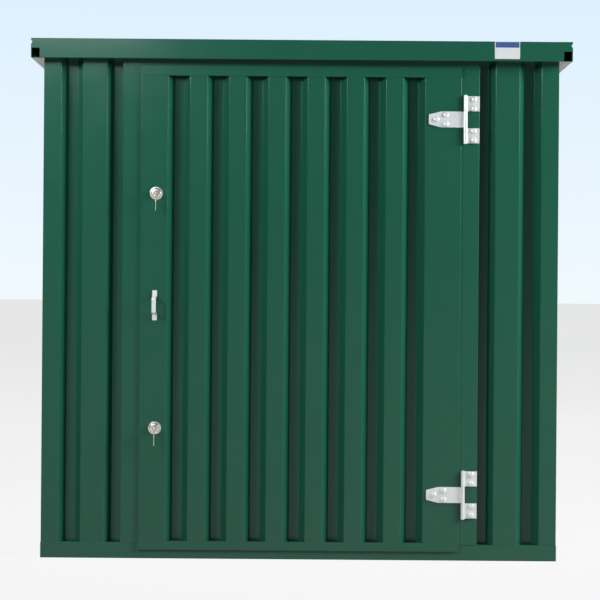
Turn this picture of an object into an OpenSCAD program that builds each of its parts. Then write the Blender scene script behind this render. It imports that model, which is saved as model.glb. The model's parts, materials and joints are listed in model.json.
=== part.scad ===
// Flat-pack steel storage container: a room of ribbed sheet with one door in its front.
// Millimetres, Z up. The origin is on the ground under the middle of the roof outline,
// the front looks along -Y and the door hangs on its right-hand edge.

/* [Body] */
// Width over the wall sheets, left to right
body_w = 2100; // [1750:10:2600]
// Depth over the wall sheets, front to back
body_d = 2170; // [1700:10:3200]
// Height from the ground to the top of the roof edge
total_h = 2110; // [1900:10:2600]

/* [Base] */
// Height of the base rails
base_h = 64; // [52:2:100]
// Steel thickness of the base rails
rail_t = 3; // [2:0.5:5]
// Width of the base rail flanges
rail_flange = 50; // [45:5:80]
// How far the base rails stand out from the wall sheets
rail_proud = 1.5; // [0.5:0.5:3]
// Thickness of the floor boards
board_t = 21; // [12:1:30]
// Gap between the floor boards and the base rails
board_gap = 0.5; // [0.3:0.1:2]
// Width of the floor joists
joist_w = 40; // [30:2:60]
// Wall thickness of the floor joists
joist_t = 2; // [1.5:0.5:3]
// Largest distance from one floor joist to the next
joist_pitch = 520; // [300:10:700]

/* [Walls] */
// Thickness of the wall, door and roof sheets
sheet_t = 1.5; // [0.8:0.1:2]
// Width of a groove at the face of the sheet
groove_w = 90; // [60:2:110]
// Width of a groove at its floor
groove_floor = 40; // [20:2:50]
// Depth of a groove
groove_depth = 38; // [20:1:38]
// Distance from one wall groove to the next
wall_pitch = 187; // [150:1:260]
// Leg of the corner posts
post_leg = 60; // [40:2:80]
// Steel thickness of the corner posts
post_t = 3; // [2:0.5:5]

/* [Door frame] */
// Steel thickness of the door frame
frame_t = 1.5; // [1:0.5:3]
// Width of the frame faces beside the door opening
jamb_face = 93; // [80:1:120]
// Depth of the frame, front to back
jamb_depth = 61.5; // [50:0.5:90]
// Width of the frame's inner lip
jamb_lip = 40; // [20:2:60]
// Height of the bar over the door opening
header_h = 50; // [40:2:90]

/* [Door] */
// Width of the door
door_w = 1308; // [900:2:1400]
// How far the door covers the frame at each side
door_overlap = 20; // [15:1:30]
// Gap between the door and the roof edge
head_show = 20; // [15:1:40]
// How far the door hangs over the front base rail
sill_overlap = 28; // [15:1:40]
// Clear gap between the door and the frame behind it
door_gap = 5; // [5:0.5:8]
// Clear gap between the door's core and the sides of the opening
side_gap = 6; // [6:0.5:10]
// Plain strip beside the locks
lock_stile = 111; // [105:1:150]
// Plain strip beside the hinges
hinge_stile = 149; // [149:1:200]
// Distance from one door groove to the next, about
door_pitch_aim = 160; // [140:1:200]
// Height of the face band at the top of the door
top_band = 42; // [38:1:60]
// Height of the face band at the bottom of the door
bottom_band = 37; // [36:1:60]
// Height of the rear lips of the door's top and bottom channels
channel_lip = 40; // [20:2:60]
// Width of the rear lips of the door's side stiles
stile_lip = 65; // [40:1:65]

/* [Hinges] */
// Distance from the door's edge to the hinge pin
pin_offset = 14; // [13:1:20]
// Radius of the hinge pin
pin_r = 5; // [4:0.5:6]
// Outer radius of the hinge knuckles
knuckle_r = 8; // [8:0.5:12]
// Running clearance around the hinge pin
pin_clear = 0.05; // [0.05:0.01:0.2]
// Gap between neighbouring knuckles
knuckle_gap = 1; // [0.5:0.5:2]
// Steel thickness of the straps and leaves
strap_t = 4; // [3:0.5:6]
// Height of the strap
strap_h = 65; // [50:1:90]
// Reach of the strap from the pin
strap_reach = 149; // [120:1:149]
// Distance from the pin to the start of the strap's taper
strap_taper = 100; // [60:1:110]
// Height of the strap at its tip
strap_tip = 39.5; // [20:0.5:50]
// Reach of the frame leaves from the pin
leaf_reach = 58; // [45:1:70]
// Height of each frame leaf
leaf_h = 61.5; // [50:0.5:80]
// Height of the whole knuckle column
column_h = 197; // [190:1:260]
// Distance from the top of the door to the upper hinge
hinge_drop = 212.5; // [150:0.5:300]
// Distance from the bottom of the door to the lower hinge
hinge_rise = 233; // [150:1:300]

/* [Locks] */
// Distance from the door's edge to the lock centres
lock_inset = 66; // [60:1:72]
// Distance from the top of the door to the upper lock
lock_drop = 522; // [400:1:560]
// Distance from the bottom of the door to the lower lock
lock_rise = 497; // [400:1:560]
// Diameter of the lock rosettes
rosette_d = 53; // [46:1:60]
// Height of the lock rosettes
rosette_h = 10; // [6:0.5:12]
// Radius of the round head of the lock cylinder
barrel_r = 8.5; // [8:0.5:9]
// Width of the tail of the lock cylinder
tail_w = 10; // [8:0.5:10]
// Distance from the plug to the end of the tail
tail_drop = 19.5; // [17:0.5:20]
// Radius of the turning plug
plug_r = 6.5; // [5:0.5:6.5]
// Length of the turning plug
plug_len = 29.5; // [20:0.5:32]
// Clearance around the lock cylinder
lock_clear = 0.3; // [0.2:0.1:0.5]
// Width of the lock cases
case_w = 60; // [50:1:60]
// Height of the lock cases
case_h = 170; // [120:2:200]

/* [Keys] */
// Thickness of a key
key_t = 2.5; // [2:0.1:3]
// Radius of the bow of a key
bow_r = 12; // [11:0.5:12.5]
// Radius of the hole in the bow
bow_hole = 5; // [4.8:0.1:5.5]
// Width of the shank of a key
shank_w = 8; // [6:0.5:9]
// Length of the shank of the spare key
shank_len = 28; // [20:1:32]
// Radius of the key ring
ring_r = 10; // [10:0.5:11]
// Radius of the key ring's wire
wire_r = 0.8; // [0.6:0.1:0.9]

/* [Handle] */
// Distance from the door's edge to the pull handle
handle_inset = 62; // [55:1:75]
// Height of the middle of the pull handle above the ground
handle_z = 1032; // [900:1:1060]
// Height of the pull handle
handle_h = 122; // [100:1:160]
// Width of the handle's strip
handle_w = 19.5; // [15:0.5:25]
// Thickness of the handle's strip
handle_t = 4; // [3:0.5:6]
// Length of each flat foot
handle_foot = 26; // [20:1:30]
// How far the grip stands out from the door
handle_out = 38; // [32:1:40]
// Radius of the handle's bends, to the middle of the strip
handle_bend = 9; // [6:0.5:12]
// Angle at which the handle rises from the door
handle_lean = 80; // [70:1:85]

/* [Roof] */
// Height of the roof edge
fascia_h = 80; // [64:2:120]
// Depth of the front and rear roof edge boxes
fascia_d = 90; // [80:2:140]
// Steel thickness of the roof edge
edge_t = 2; // [1.5:0.5:3]
// Overhang of the roof edge at the front and rear
overhang_y = 50; // [48:1:80]
// Overhang of the roof edge at the sides
overhang_x = 46; // [42:1:80]
// Width of the side gutters that run past the front and rear boxes
gutter_w = 37; // [30:1:60]
// Width of the side roof edge boxes
eaves_w = 91; // [80:1:140]
// Depth of the crease along the side roof edge
crease_d = 6; // [3:0.5:8]
// Distance from the top of the roof edge to the crease
crease_drop = 16; // [12:1:20]
// Width of the ledges that carry the purlins
ledge_w = 25; // [20:1:40]
// Width of the purlins
purlin_w = 60; // [40:2:80]
// Wall thickness of the purlins
purlin_t = 2; // [1.5:0.5:4]
// Largest distance from one purlin to the next
purlin_pitch = 480; // [300:10:700]
// Width of a roof rib at its base
rib_w = 70; // [50:2:90]
// Width of a roof rib at its top
rib_top = 30; // [20:2:40]
// Height of the roof ribs
rib_h = 33.5; // [20:0.5:38]
// Distance from one roof rib to the next
rib_pitch = 200; // [150:5:260]
// Plain strip at each side of the roof sheet
roof_plain = 40; // [20:1:60]
// Gap around the roof sheet
roof_gap = 0.8; // [0.5:0.1:2]

/* [Hidden] */

paint = [0.16, 0.40, 0.32];
paint_dark = [0.12, 0.33, 0.26];
zinc = [0.82, 0.83, 0.81];
nickel = [0.78, 0.75, 0.72];
brass = [0.76, 0.66, 0.42];
plywood = [0.55, 0.42, 0.28];

$fn = 48;
cut = 1;                                   // how far a cutting solid runs past a face

// Main levels and faces
wall_top = total_h - fascia_h;             // underside of the roof edge
wall_h = wall_top - base_h;
wall_y = body_d / 2;                       // outer faces of the front and rear sheets
wall_x = body_w / 2;                       // outer faces of the side sheets
rail_x = wall_x + rail_proud;              // outer faces of the side base rails
rail_y = wall_y + rail_proud;              // outer faces of the end base rails
floor_x = rail_x - rail_flange;            // inner edges of the rail flanges
floor_y = rail_y - rail_flange;
roof_x = wall_x + overhang_x;              // outer faces of the roof edge
roof_y = wall_y + overhang_y;
joist_h = base_h - rail_t - board_t;
corner_flat = post_leg + 8;                // plain sheet left in front of a corner post

// Door, seen from its own faces; y grows towards the back
open_x = door_w / 2 - door_overlap;        // sides of the door opening
open_top = wall_top - header_h;
frame_y = -wall_y - frame_t;               // front face of the door frame
face_y = -max(wall_y + frame_t, rail_y) - door_gap - sheet_t;   // front face of the door sheet
door_x = door_w / 2;
door_top = wall_top - head_show;
door_bottom = base_h - sill_overlap;
core_x = open_x - side_gap;                // sides of the door's core
core_top = open_top - door_gap - sheet_t;
core_bottom = base_h + door_gap + sheet_t;
core_y = face_y + groove_depth + sheet_t + 1;   // front face of the rear lips
door_groove_n = round((door_w - lock_stile - hinge_stile - groove_w) / door_pitch_aim);
door_pitch = (door_w - lock_stile - hinge_stile - groove_w) / door_groove_n;

// Hinges
hinge_x = door_x + pin_offset;
leaf_bite = 1;                             // how far the knuckles run into their leaves
hinge_y = frame_y - strap_t - knuckle_r + leaf_bite;
upper_hinge_z = door_top - hinge_drop;
lower_hinge_z = door_bottom + hinge_rise;
knuckle_end = strap_h / 2 + knuckle_gap;   // lower end of the upper frame knuckle
leaf_start = knuckle_end + 1;

// Locks and keys
lock_x = -door_x + lock_inset;
upper_lock_z = door_top - lock_drop;
lower_lock_z = door_bottom + lock_rise;
barrel_front = face_y - rosette_h - 2;
barrel_back = core_y + sheet_t + 5;
bow_y = barrel_front - bow_r - 4.5;        // middle of the bow of the key in the lock
hole_z = -2;                               // hole in that bow, below the lock's centre
ring_top_z = hole_z - 2;                   // middle of the wire where it passes the hole
ring_turn = 30;                            // turn of the ring out of the plane of the key
spare_hole_z = ring_top_z - 2 * ring_r - bow_hole + 0.3;
spare_bow_z = spare_hole_z - 4;
spare_bow_r = bow_r - 1;

// Roof
box_y = roof_y - fascia_d;                 // inner faces of the front and rear boxes
box_x = roof_x - eaves_w;                  // inner faces of the side boxes
gutter_x = roof_x - gutter_w;              // inner faces of the side gutters
ear_z = wall_top + fascia_h / 2;           // lower edge of the plates over the gutter ends
purlin_top = wall_top + fascia_h / 2;
purlin_h = purlin_top - wall_top - edge_t;

function reverse(list) = [for (i = [len(list) - 1:-1:0]) list[i]];

// Middles of the grooves that fit a run of sheet between two plain ends
function groove_centres(run, width, pitch, plain) =
    let (n = floor((run - 2 * plain - width) / pitch))
    [for (i = [0:n]) (i - n / 2) * pitch];

// Outline of a sheet folded into grooves: its face on y = 0, its grooves towards +y.
// The back of each fold is wider than its face by the thickness times the bend's half tangent.
function ribbed_outline(from, to, centres, width, floor_w, depth) =
    let (widen = sheet_t * tan(atan2(depth, (width - floor_w) / 2) / 2))
    concat([[from, 0]],
        [for (c = centres) each [[c - width / 2, 0], [c - floor_w / 2, depth],
            [c + floor_w / 2, depth], [c + width / 2, 0]]],
        [[to, 0], [to, sheet_t]],
        [for (c = reverse(centres)) each [[c + width / 2 + widen, sheet_t],
            [c + floor_w / 2 + widen, depth + sheet_t],
            [c - floor_w / 2 - widen, depth + sheet_t],
            [c - width / 2 - widen, sheet_t]]],
        [[from, sheet_t]]);

// ---- Base and floor ----

// Channel along X with its web in front on y = 0 and its flanges towards +y
module rail_channel(length) {
    translate([-length / 2, 0, 0]) {
        cube([length, rail_t, base_h]);
        cube([length, rail_flange, rail_t]);
        translate([0, 0, base_h - rail_t])
            cube([length, rail_flange, rail_t]);
    }
}

// End rail: the channel with a closing plate at each end
module end_rail() {
    color(paint_dark) translate([0, -rail_y, 0]) {
        rail_channel(2 * rail_x);
        for (x = [-rail_x, rail_x - rail_t])
            translate([x, 0, 0]) cube([rail_t, rail_flange, base_h]);
    }
}

module side_rail() {
    color(paint_dark) translate([rail_x, 0, 0]) rotate([0, 0, 90]) rail_channel(2 * floor_y);
}

module base_rail_front() { end_rail(); }
module base_rail_rear() { rotate([0, 0, 180]) end_rail(); }
module base_rail_left() { rotate([0, 0, 180]) side_rail(); }
module base_rail_right() { side_rail(); }

// Square tube along X, standing on z = 0
module tube_x(length, width, height, wall) {
    translate([-length / 2, -width / 2, 0]) difference() {
        cube([length, width, height]);
        translate([-cut, wall, wall])
            cube([length + 2 * cut, width - 2 * wall, height - 2 * wall]);
    }
}

module floor_joists() {
    half_run = floor_y - joist_w / 2 - 20;
    n = ceil(half_run / joist_pitch);
    color(zinc) for (i = [-n:n])
        translate([0, i * half_run / n, rail_t])
            tube_x(2 * (rail_x - rail_t), joist_w, joist_h, joist_t);
}

module floor_board(side) {
    color(plywood) translate([-floor_x + board_gap, side > 0 ? 0 : board_gap - floor_y, base_h - board_t])
        cube([2 * (floor_x - board_gap), floor_y - board_gap, board_t]);
}

module floor_board_front() { floor_board(-1); }
module floor_board_rear() { floor_board(1); }

// ---- Walls ----

// Angle post in the corner between two sheets, for the front left corner
module corner_post() {
    color(paint_dark) translate([-wall_x + sheet_t, -wall_y + sheet_t, base_h]) {
        cube([post_leg, post_t, wall_h]);
        cube([post_t, post_leg, wall_h]);
    }
}

module corner_post_front_left() { corner_post(); }
module corner_post_front_right() { mirror([1, 0, 0]) corner_post(); }
module corner_post_rear_left() { mirror([0, 1, 0]) corner_post(); }
module corner_post_rear_right() { mirror([1, 0, 0]) mirror([0, 1, 0]) corner_post(); }

// Ribbed sheet along X with its face on y = 0
module wall_sheet(from, to, centres) {
    color(paint) translate([0, 0, base_h]) linear_extrude(height = wall_h)
        polygon(ribbed_outline(from, to, centres, groove_w, groove_floor, groove_depth));
}

module front_wall_left() {
    centres = [for (c = groove_centres(body_w, groove_w, wall_pitch, corner_flat))
        if (c + groove_w / 2 < -open_x - 3 * frame_t - jamb_lip) c];
    translate([0, -wall_y, 0])
        wall_sheet(-wall_x, -open_x - 4 * frame_t, centres);
}

module front_wall_right() { mirror([1, 0, 0]) front_wall_left(); }

module rear_wall() {
    translate([0, wall_y, 0]) rotate([0, 0, 180])
        wall_sheet(-wall_x, wall_x, groove_centres(body_w, groove_w, wall_pitch, corner_flat));
}

module right_wall() {
    translate([wall_x, 0, 0]) rotate([0, 0, 90])
        wall_sheet(sheet_t - wall_y, wall_y - sheet_t,
            groove_centres(body_d, groove_w, wall_pitch, corner_flat));
}

module left_wall() { rotate([0, 0, 180]) right_wall(); }

// ---- Door frame ----

// Folded jamb on the right of the opening: a face, a side and an inner lip
module door_jamb_right() {
    color(paint_dark) translate([open_x, frame_y, base_h]) {
        cube([jamb_face, frame_t, wall_h]);
        cube([frame_t, jamb_depth, wall_h]);
        translate([0, jamb_depth - frame_t, 0])
            cube([jamb_lip, frame_t, wall_h]);
    }
}

module door_jamb_left() { mirror([1, 0, 0]) door_jamb_right(); }

// Folded bar over the opening
module door_header() {
    color(paint_dark) translate([-open_x, frame_y, open_top]) {
        cube([2 * open_x, frame_t, header_h]);
        cube([2 * open_x, jamb_depth, frame_t]);
    }
}

// ---- Roof ----

// Outline of a side roof edge box in x and z; by makes it smaller on every side
function eaves_outline(inner, by) = [
    [inner + by, wall_top + by],
    [roof_x - by, wall_top + by],
    [roof_x - by, total_h - crease_drop - 1.6 * crease_d],
    [roof_x - by - crease_d, total_h - crease_drop],
    [roof_x - by, total_h - crease_drop + 1.6 * crease_d],
    [roof_x - by, total_h - by],
    [inner + by, total_h - by]];

// Tube of that outline along Y between two places
module eaves_tube(inner, from, to) {
    translate([0, to, 0]) rotate([90, 0, 0]) linear_extrude(height = to - from)
        difference() {
            polygon(eaves_outline(inner, 0));
            polygon(eaves_outline(inner, edge_t));
        }
}

module eaves_right() {
    color(paint) {
        eaves_tube(box_x, -box_y, box_y);
        eaves_tube(gutter_x, box_y, roof_y - edge_t);
        eaves_tube(gutter_x, edge_t - roof_y, -box_y);
        translate([box_x - ledge_w, -box_y, wall_top])
            cube([ledge_w, 2 * box_y, edge_t]);
    }
}

module eaves_left() { mirror([1, 0, 0]) eaves_right(); }

// Front roof edge box, with a plate at each end that covers the upper half of the gutter
module roof_fascia_front() {
    color(paint) {
        difference() {
            translate([-gutter_x, -roof_y, wall_top])
                cube([2 * gutter_x, fascia_d, fascia_h]);
            translate([-gutter_x - cut, edge_t - roof_y, wall_top + edge_t])
                cube([2 * (gutter_x + cut), fascia_d - 2 * edge_t, fascia_h - 2 * edge_t]);
        }
        for (side = [0, 1]) mirror([side, 0, 0]) intersection() {
            translate([0, edge_t - roof_y, 0]) rotate([90, 0, 0]) linear_extrude(height = edge_t)
                polygon(eaves_outline(gutter_x, 0));
            translate([gutter_x, -roof_y - cut, ear_z])
                cube([gutter_w, fascia_d, fascia_h / 2]);
        }
    }
}

module roof_fascia_rear() { rotate([0, 0, 180]) roof_fascia_front(); }

module roof_purlins() {
    half_run = box_y - purlin_w / 2 - 40;
    n = ceil(2 * half_run / purlin_pitch);
    color(zinc) for (i = [0:n])
        translate([0, half_run * (2 * i / n - 1), wall_top + edge_t])
            tube_x(2 * box_x, purlin_w, purlin_h, purlin_t);
}

module roof_sheet() {
    half = box_x - roof_gap;
    color(paint) translate([0, box_y - roof_gap, purlin_top]) rotate([90, 0, 0])
        linear_extrude(height = 2 * (box_y - roof_gap))
            polygon(ribbed_outline(-half, half, groove_centres(2 * half, rib_w, rib_pitch, roof_plain),
                rib_w, rib_top, rib_h));
}

// ---- Door ----

// Outline of a lock cylinder: a round head with a tail that hangs from it
module cylinder_outline(clear) {
    circle(r = barrel_r + clear);
    translate([-tail_w / 2 - clear, tail_w / 2 - tail_drop])
        square([tail_w + 2 * clear, tail_drop - tail_w / 2]);
    translate([0, tail_w / 2 - tail_drop]) circle(r = tail_w / 2 + clear);
}

// Prism of that outline between two places along Y, at the height of a lock
module cylinder_prism(z, from, to, clear) {
    translate([lock_x, to, z]) rotate([90, 0, 0]) linear_extrude(height = to - from)
        cylinder_outline(clear);
}

// Holes for both lock cylinders through everything between two places along Y
module lock_cuts(from, to) {
    for (z = [lower_lock_z, upper_lock_z]) cylinder_prism(z, from, to, lock_clear);
}

module door_sheet() {
    centres = [for (i = [0:door_groove_n])
        -door_x + lock_stile + groove_w / 2 + i * door_pitch];
    color(paint) difference() {
        translate([0, face_y, core_bottom]) linear_extrude(height = core_top - core_bottom)
            polygon(ribbed_outline(-door_x, door_x, centres, groove_w, groove_floor, groove_depth));
        lock_cuts(face_y - cut, face_y + groove_depth);
    }
}

// Channel over the top of the sheet: a face band, a cap and a rear lip
module door_top_channel() {
    color(paint_dark) {
        translate([-door_x, face_y - sheet_t, door_top - top_band])
            cube([door_w, sheet_t, top_band]);
        translate([-core_x, face_y - sheet_t, core_top])
            cube([2 * core_x, core_y + 2 * sheet_t - face_y, sheet_t]);
        translate([-core_x, core_y, core_top + sheet_t - channel_lip])
            cube([2 * core_x, sheet_t, channel_lip]);
    }
}

module door_bottom_channel() {
    color(paint_dark) {
        translate([-door_x, face_y - sheet_t, door_bottom])
            cube([door_w, sheet_t, bottom_band]);
        translate([-core_x, face_y - sheet_t, core_bottom - sheet_t])
            cube([2 * core_x, core_y + 2 * sheet_t - face_y, sheet_t]);
        translate([-core_x, core_y, core_bottom - sheet_t])
            cube([2 * core_x, sheet_t, channel_lip]);
    }
}

// Side stile behind the sheet: a web and a rear lip that turns towards the middle
module door_right_stile() {
    color(paint_dark) {
        translate([core_x - sheet_t, face_y + sheet_t, core_bottom])
            cube([sheet_t, core_y - face_y - sheet_t, core_top - core_bottom]);
        translate([core_x - stile_lip, core_y, core_bottom - sheet_t + channel_lip])
            cube([stile_lip, sheet_t, core_top - core_bottom + 2 * (sheet_t - channel_lip)]);
    }
}

module door_left_stile() {
    difference() {
        mirror([1, 0, 0]) door_right_stile();
        lock_cuts(core_y - cut, core_y + sheet_t + cut);
    }
}

// ---- Hinges ----

// Fixed part of a hinge: two leaves on the frame, their knuckles and the pin
module hinge_leaf(z) {
    color(zinc) translate([hinge_x, hinge_y, z]) {
        cylinder(r = pin_r, h = column_h, center = true);
        for (side = [0, 1]) mirror([0, 0, side]) {
            translate([0, 0, knuckle_end])
                cylinder(r = knuckle_r, h = column_h / 2 - knuckle_end);
            translate([0, 0, column_h / 2]) cylinder(r = pin_r + 1.5, h = 1.5);
            translate([-4, frame_y - strap_t - hinge_y, leaf_start])
                cube([leaf_reach + 4, strap_t, leaf_h]);
        }
    }
}

// Moving part of a hinge: a tapered strap on the door and its knuckle
module hinge_strap(z) {
    color(zinc) translate([hinge_x, hinge_y, z]) difference() {
        union() {
            cylinder(r = knuckle_r, h = strap_h, center = true);
            translate([0, face_y - hinge_y, 0]) rotate([90, 0, 0]) linear_extrude(height = strap_t)
                polygon([[0, -strap_h / 2], [0, strap_h / 2], [-strap_taper, strap_h / 2],
                    [-strap_reach, strap_tip / 2], [-strap_reach, -strap_tip / 2],
                    [-strap_taper, -strap_h / 2]]);
        }
        cylinder(r = pin_r + pin_clear, h = strap_h + 2 * cut, center = true);
    }
}

module upper_hinge_leaf() { hinge_leaf(upper_hinge_z); }
module lower_hinge_leaf() { hinge_leaf(lower_hinge_z); }
module upper_hinge_strap() { hinge_strap(upper_hinge_z); }
module lower_hinge_strap() { hinge_strap(lower_hinge_z); }

// ---- Handle ----

// Points of a bend between two straights of a strip. corner is where the straights' middle
// lines cross, into and out of are their directions, and shift moves the points sideways.
function bend(corner, into, out_of, shift) =
    let (
        turn = out_of - into,
        half = abs(turn) / 2,
        side = sign(turn),
        centre = corner + handle_bend / cos(half)
            * [cos((into + out_of) / 2 + side * 90), sin((into + out_of) / 2 + side * 90)]
    )
    [for (i = [0:8]) centre + (handle_bend - side * shift)
        * [cos(into - side * 90 + turn * i / 8), sin(into - side * 90 + turn * i / 8)]];

// One side of the handle's strip, in height and distance from the door
function handle_side(shift) =
    let (
        mid = handle_t / 2,
        foot_end = handle_h / 2 - handle_foot,
        top_end = foot_end - (handle_out - handle_t) / tan(handle_lean)
    )
    concat([[-handle_h / 2, mid + shift]],
        bend([-foot_end, mid], 0, handle_lean, shift),
        bend([-top_end, handle_out - mid], handle_lean, 0, shift),
        bend([top_end, handle_out - mid], 0, -handle_lean, shift),
        bend([foot_end, mid], -handle_lean, 0, shift),
        [[handle_h / 2, mid + shift]]);

// Pull handle: a flat strip bent into a bow with two feet on the door
module pull_handle() {
    color(zinc) translate([-door_x + handle_inset - handle_w / 2, face_y, handle_z])
        rotate([90, -90, 90]) linear_extrude(height = handle_w)
            polygon(concat(handle_side(-handle_t / 2), reverse(handle_side(handle_t / 2))));
}

// ---- Locks ----

module lock_rosette(z) {
    color(nickel) difference() {
        translate([lock_x, face_y, z]) rotate([90, 0, 0]) rotate_extrude($fn = 64)
            polygon(concat([[0, 0], [rosette_d / 2, 0], [rosette_d / 2, rosette_h * 0.2]],
                [for (a = [15:15:90]) [
                    barrel_r + 4 + (rosette_d / 2 - barrel_r - 4) * cos(a),
                    rosette_h * (0.2 + 0.8 * sin(a))]],
                [[0, rosette_h]]));
        cylinder_prism(z, face_y - rosette_h - cut, face_y + cut, lock_clear);
    }
}

// Case of a lock behind the sheet, with the cylinder's hole through it
module lock_case(z) {
    color(zinc) difference() {
        translate([lock_x - case_w / 2, face_y + sheet_t, z - case_h / 2])
            cube([case_w, core_y - face_y - sheet_t, case_h]);
        cylinder_prism(z, face_y, core_y + cut, lock_clear);
    }
}

module lock_cylinder(z) {
    color(brass) difference() {
        cylinder_prism(z, barrel_front, barrel_back, 0);
        translate([lock_x, barrel_front - cut, z]) rotate([-90, 0, 0])
            cylinder(r = plug_r + pin_clear, h = plug_len + 0.5 + cut);
    }
}

module upper_lock_rosette() { lock_rosette(upper_lock_z); }
module lower_lock_rosette() { lock_rosette(lower_lock_z); }
module upper_lock_case() { lock_case(upper_lock_z); }
module lower_lock_case() { lock_case(lower_lock_z); }
module upper_lock_cylinder() { lock_cylinder(upper_lock_z); }
module lower_lock_cylinder() { lock_cylinder(lower_lock_z); }

// ---- Keys ----

// Key plate on edge: a round bow with a hole and a shank; place is y and z of the bow,
// hole_at is the height of the hole over it
module key_bow(y, z, radius, hole_at) {
    difference() {
        translate([lock_x - key_t / 2, y, z]) rotate([0, 90, 0]) cylinder(r = radius, h = key_t);
        translate([lock_x - key_t / 2 - cut, y, z + hole_at]) rotate([0, 90, 0])
            cylinder(r = bow_hole, h = key_t + 2 * cut);
    }
}

// Turning plug with the key that stands in it
module lock_key(z) {
    color(nickel) {
        translate([lock_x, barrel_front, z]) rotate([-90, 0, 0]) cylinder(r = plug_r, h = plug_len);
        translate([lock_x - key_t / 2, bow_y + bow_r - 1.5, z - shank_w / 2])
            cube([key_t, barrel_front - bow_y - bow_r + 2.5, shank_w]);
        key_bow(bow_y, z, bow_r, hole_z);
    }
}

// Ring through the key's bow, with a spare key on it
module key_ring(z) {
    color(nickel) {
        translate([lock_x, bow_y, z + ring_top_z - ring_r]) rotate([0, 0, 90 - ring_turn])
            rotate([90, 0, 0]) rotate_extrude($fn = 48) translate([ring_r, 0]) circle(r = wire_r, $fn = 16);
        key_bow(bow_y, z + spare_bow_z, spare_bow_r, spare_hole_z - spare_bow_z);
        translate([lock_x - key_t / 2, bow_y - shank_w / 2, z + spare_bow_z - spare_bow_r - shank_len])
            cube([key_t, shank_w, shank_len + 1]);
    }
}

module upper_key() { lock_key(upper_lock_z); }
module lower_key() { lock_key(lower_lock_z); }
module upper_key_ring() { key_ring(upper_lock_z); }
module lower_key_ring() { key_ring(lower_lock_z); }

base_rail_front();
base_rail_rear();
base_rail_left();
base_rail_right();
floor_joists();
floor_board_front();
floor_board_rear();
corner_post_front_left();
corner_post_front_right();
corner_post_rear_left();
corner_post_rear_right();
front_wall_left();
front_wall_right();
left_wall();
right_wall();
rear_wall();
door_jamb_left();
door_jamb_right();
door_header();
roof_fascia_front();
roof_fascia_rear();
eaves_left();
eaves_right();
roof_purlins();
roof_sheet();
door_sheet();
door_top_channel();
door_bottom_channel();
door_left_stile();
door_right_stile();
upper_hinge_leaf();
lower_hinge_leaf();
upper_hinge_strap();
lower_hinge_strap();
pull_handle();
upper_lock_rosette();
lower_lock_rosette();
upper_lock_case();
lower_lock_case();
upper_lock_cylinder();
lower_lock_cylinder();
upper_key();
lower_key();
upper_key_ring();
lower_key_ring();
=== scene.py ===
import json
import math

import bmesh
import bpy
from mathutils import Matrix, Vector


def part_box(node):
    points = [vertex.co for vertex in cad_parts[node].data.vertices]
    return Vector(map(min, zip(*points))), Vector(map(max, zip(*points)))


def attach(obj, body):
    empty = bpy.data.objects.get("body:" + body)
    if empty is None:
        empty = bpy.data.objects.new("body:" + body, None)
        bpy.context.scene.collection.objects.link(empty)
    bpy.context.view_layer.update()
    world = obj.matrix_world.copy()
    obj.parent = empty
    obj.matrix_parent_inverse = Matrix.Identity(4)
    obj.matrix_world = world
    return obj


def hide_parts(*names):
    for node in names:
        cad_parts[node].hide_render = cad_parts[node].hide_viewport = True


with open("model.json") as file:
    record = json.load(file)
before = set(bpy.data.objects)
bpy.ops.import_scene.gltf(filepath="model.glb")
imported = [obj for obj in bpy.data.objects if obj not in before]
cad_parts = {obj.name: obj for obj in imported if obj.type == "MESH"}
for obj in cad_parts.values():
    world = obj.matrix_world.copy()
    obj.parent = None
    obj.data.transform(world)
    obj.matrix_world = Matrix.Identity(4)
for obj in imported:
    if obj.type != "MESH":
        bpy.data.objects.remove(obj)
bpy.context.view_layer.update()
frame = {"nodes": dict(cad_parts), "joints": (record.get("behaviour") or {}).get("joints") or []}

nodes = frame["nodes"]
joints = {joint["name"]: joint for joint in frame["joints"]}
mm = 0.001
print("frame loaded:", len(nodes), "nodes")


# Shader groups. Each one gives colours, masks and a normal; the shaders stay in the materials.

def newGroup(name, inputs, outputs):
    group = bpy.data.node_groups.new(name, "ShaderNodeTree")
    for label, kind, value in inputs:
        socket = group.interface.new_socket(name=label, in_out="INPUT", socket_type=kind)
        socket.default_value = value
    for label, kind in outputs:
        group.interface.new_socket(name=label, in_out="OUTPUT", socket_type=kind)
    return group, group.nodes.new("NodeGroupInput"), group.nodes.new("NodeGroupOutput")


def addNode(tree, kind, values=None, **settings):
    node = tree.nodes.new(kind)
    for key, value in settings.items():
        setattr(node, key, value)
    for key, value in (values or {}).items():
        node.inputs[key].default_value = value
    return node


def join(tree, fromSocket, toSocket):
    tree.links.new(fromSocket, toSocket)


def mathNode(tree, operation, first, second=None, third=None, clamp=False):
    node = addNode(tree, "ShaderNodeMath", operation=operation, use_clamp=clamp)
    for i, value in enumerate((first, second, third)):
        if value is None:
            continue
        if isinstance(value, (int, float)):
            node.inputs[i].default_value = value
        else:
            join(tree, value, node.inputs[i])
    return node.outputs[0]


def mixColour(tree, factor, first, second, blendType="MIX"):
    node = addNode(tree, "ShaderNodeMix", data_type="RGBA", blend_type=blendType)
    for socket, value in ((node.inputs[0], factor), (node.inputs[6], first), (node.inputs[7], second)):
        if isinstance(value, (int, float, tuple)):
            socket.default_value = value
        else:
            join(tree, value, socket)
    return node.outputs[2]


def remap(tree, value, fromLow, fromHigh, toLow, toHigh):
    node = addNode(tree, "ShaderNodeMapRange", {1: fromLow, 2: fromHigh, 3: toLow, 4: toHigh}, clamp=True)
    join(tree, value, node.inputs[0])
    return node.outputs[0]


def noiseNode(tree, vector, scale, detail=2.0, rough=0.5):
    node = addNode(tree, "ShaderNodeTexNoise", {"Scale": scale, "Detail": detail, "Roughness": rough})
    join(tree, vector, node.inputs["Vector"])
    return node.outputs["Fac"]


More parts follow.
